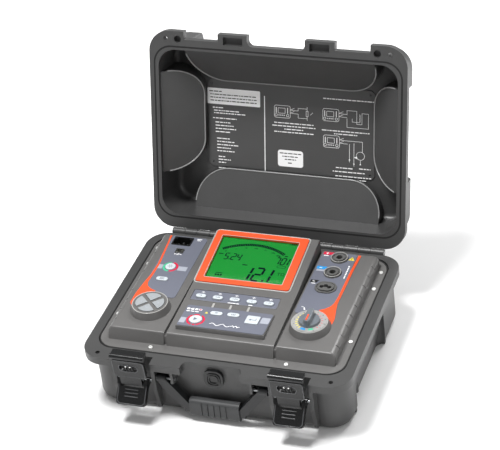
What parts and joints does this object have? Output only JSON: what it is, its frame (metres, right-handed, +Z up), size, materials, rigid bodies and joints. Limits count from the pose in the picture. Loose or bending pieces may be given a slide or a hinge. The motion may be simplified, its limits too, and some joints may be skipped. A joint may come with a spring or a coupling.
{
  "type": "insulation resistance tester",
  "caption": "Portable insulation resistance tester in a rugged moulded case, lid open, with a tilted display, keys, selector dial, test sockets, draw latches and a folding handle",
  "frame": {"origin": "centre of the flat underside of the case base, between the left and right walls", "axes": "+X to the operator's right, +Y to the hinge side at the back, +Z up"},
  "size_m": [0.394, 0.4876, 0.3918],
  "materials": {
    "case_plastic": "moulded polypropylene, fine texture",
    "lid_inner_plastic": "moulded polypropylene, darker inner face",
    "panel_plastic": "moulded ABS, fine spark texture",
    "overlay_film": "satin printed polyester film",
    "bezel_orange": "satin orange film",
    "latch_black": "glass-filled nylon, satin black",
    "handle_black": "glass-filled nylon, black",
    "grip_rubber": "soft overmoulded grip",
    "gasket_rubber": "black foam rubber cord",
    "key_plastic": "off-white silicone key",
    "key_arrow": "off-white silicone arrow key",
    "knob_dark": "satin dark blue-grey knob",
    "pointer_orange": "orange pointer insert",
    "dial_print": "light grey printed dial",
    "lcd_glass": "clear display window",
    "lcd_green": "green backlit display with dark segments",
    "lcd_segment": "dark display segments",
    "print_white": "white screen print",
    "print_orange": "orange screen print",
    "print_red": "red screen print",
    "print_blue": "blue screen print",
    "print_yellow": "yellow screen print",
    "print_green": "green screen print",
    "print_black": "black screen print",
    "print_pale": "pale grey screen print",
    "plate_plastic": "printed information plate",
    "socket_grey": "grey insulated socket body",
    "inlet_black": "black appliance inlet",
    "port_metal": "nickel-plated shell",
    "steel": "zinc-plated steel",
    "brass": "nickel-free brass contact",
    "board_green": "solder-masked board",
    "battery_wrap": "shrink-wrapped battery pack",
    "potting_black": "potted high-voltage block",
    "trim_light": "light moulded edge"
  },
  "bodies": {
    "case": {"base_shell": "case_plastic", "hinge_pins": "steel", "front_pins": "steel", "pressure_valve": "handle_black", "front_panel": "panel_plastic", "panel_screws": "steel", "lcd_bezel": "bezel_orange", "lcd_window": "lcd_glass", "lcd_module": "lcd_green", "overlay_left": "overlay_film", "overlay_right": "overlay_film", "overlay_strip": "overlay_film", "overlay_lower": "overlay_film", "test_socket_plus": "socket_grey", "test_socket_minus": "socket_grey", "test_socket_guard": "socket_grey", "socket_contacts": "brass", "mains_inlet": "inlet_black", "inlet_blades": "steel", "data_port": "port_metal", "dial_plate": "dial_print", "main_board": "board_green", "board_posts": "steel", "rotary_switch": "potting_black", "battery_pack": "battery_wrap", "battery_bracket": "steel", "high_voltage_module": "potting_black", "power_supply": "board_green", "buzzer": "potting_black"},
    "lid": {"lid_shell": "case_plastic", "lid_gasket": "gasket_rubber", "info_plate": "plate_plastic"},
    "handle": {"handle_frame": "handle_black", "handle_grip": "grip_rubber"},
    "knob": {"selector_knob": "knob_dark", "knob_pointer": "pointer_orange"},
    "lever_left": {"latch_lever_left": "latch_black"},
    "clamp_left": {"latch_clamp_left": "latch_black"},
    "lever_right": {"latch_lever_right": "latch_black"},
    "clamp_right": {"latch_clamp_right": "latch_black"},
    "key_light": {"key_light": "key_plastic"},
    "key_menu": {"key_menu": "key_plastic"},
    "key_f1": {"key_f1": "key_plastic"},
    "key_f2": {"key_f2": "key_plastic"},
    "key_f3": {"key_f3": "key_plastic"},
    "key_f4": {"key_f4": "key_plastic"},
    "key_f5": {"key_f5": "key_plastic"},
    "key_start": {"key_start": "key_plastic"},
    "key_escape": {"key_escape": "key_plastic"},
    "key_store": {"key_store": "key_plastic"},
    "key_enter": {"key_enter": "key_plastic"},
    "key_right": {"key_right": "key_arrow"},
    "key_up": {"key_up": "key_arrow"},
    "key_left": {"key_left": "key_arrow"},
    "key_down": {"key_down": "key_arrow"}
  },
  "joints": [
    {"name": "lid_hinge", "type": "hinge", "parent": "case", "child": "lid", "pos_m": [0, 0.156, 0.092], "axis": [1, 0, 0], "range_deg": [0, 106]},
    {"name": "handle_hinge", "type": "hinge", "parent": "case", "child": "handle", "pos_m": [0, -0.15, 0.066], "axis": [1, 0, 0], "range_deg": [-90, 0]},
    {"name": "lever_hinge_left", "type": "hinge", "parent": "case", "child": "lever_left", "pos_m": [-0.1155, -0.15, 0.058], "axis": [1, 0, 0], "range_deg": [-35, 40]},
    {"name": "clamp_hinge_left", "type": "hinge", "parent": "lever_left", "child": "clamp_left", "pos_m": [-0.1155, -0.16075, 0.05919], "axis": [1, 0, 0], "range_deg": [-46.5, 41]},
    {"name": "lever_hinge_right", "type": "hinge", "parent": "case", "child": "lever_right", "pos_m": [0.1155, -0.15, 0.058], "axis": [1, 0, 0], "range_deg": [-35, 40]},
    {"name": "clamp_hinge_right", "type": "hinge", "parent": "lever_right", "child": "clamp_right", "pos_m": [0.1155, -0.16075, 0.05919], "axis": [1, 0, 0], "range_deg": [-46.5, 41]},
    {"name": "selector_turn", "type": "hinge", "parent": "case", "child": "knob", "pos_m": [0.117, -0.056, 0.1205], "axis": [0, 0, 1], "range_deg": [-150, 150]},
    {"name": "press_light", "type": "slide", "parent": "case", "child": "key_light", "axis": [0, 0, -1], "range_m": [0, 0.0012], "stiffness_N_per_m": 400},
    {"name": "press_menu", "type": "slide", "parent": "case", "child": "key_menu", "axis": [0, 0, -1], "range_m": [0, 0.0012], "stiffness_N_per_m": 400},
    {"name": "press_f1", "type": "slide", "parent": "case", "child": "key_f1", "axis": [0, 0.0391, -0.9992], "range_m": [0, 0.0012], "stiffness_N_per_m": 400},
    {"name": "press_f2", "type": "slide", "parent": "case", "child": "key_f2", "axis": [0, 0.0391, -0.9992], "range_m": [0, 0.0012], "stiffness_N_per_m": 400},
    {"name": "press_f3", "type": "slide", "parent": "case", "child": "key_f3", "axis": [0, 0.0391, -0.9992], "range_m": [0, 0.0012], "stiffness_N_per_m": 400},
    {"name": "press_f4", "type": "slide", "parent": "case", "child": "key_f4", "axis": [0, 0.0391, -0.9992], "range_m": [0, 0.0012], "stiffness_N_per_m": 400},
    {"name": "press_f5", "type": "slide", "parent": "case", "child": "key_f5", "axis": [0, 0.0391, -0.9992], "range_m": [0, 0.0012], "stiffness_N_per_m": 400},
    {"name": "press_start", "type": "slide", "parent": "case", "child": "key_start", "axis": [0, -0.0541, -0.9985], "range_m": [0, 0.0012], "stiffness_N_per_m": 400},
    {"name": "press_escape", "type": "slide", "parent": "case", "child": "key_escape", "axis": [0, -0.0541, -0.9985], "range_m": [0, 0.0012], "stiffness_N_per_m": 400},
    {"name": "press_store", "type": "slide", "parent": "case", "child": "key_store", "axis": [0, -0.0541, -0.9985], "range_m": [0, 0.0012], "stiffness_N_per_m": 400},
    {"name": "press_enter", "type": "slide", "parent": "case", "child": "key_enter", "axis": [0, -0.0541, -0.9985], "range_m": [0, 0.0012], "stiffness_N_per_m": 400},
    {"name": "press_right", "type": "slide", "parent": "case", "child": "key_right", "axis": [0, 0, -1], "range_m": [0, 0.0012], "stiffness_N_per_m": 400},
    {"name": "press_up", "type": "slide", "parent": "case", "child": "key_up", "axis": [0, 0, -1], "range_m": [0, 0.0012], "stiffness_N_per_m": 400},
    {"name": "press_left", "type": "slide", "parent": "case", "child": "key_left", "axis": [0, 0, -1], "range_m": [0, 0.0012], "stiffness_N_per_m": 400},
    {"name": "press_down", "type": "slide", "parent": "case", "child": "key_down", "axis": [0, 0, -1], "range_m": [0, 0.0012], "stiffness_N_per_m": 400}
  ],
  "couplings": [
    {"joint": "clamp_hinge_left", "follows": "lever_hinge_left", "ratio": -1.15},
    {"joint": "clamp_hinge_right", "follows": "lever_hinge_right", "ratio": -1.15}
  ]
}
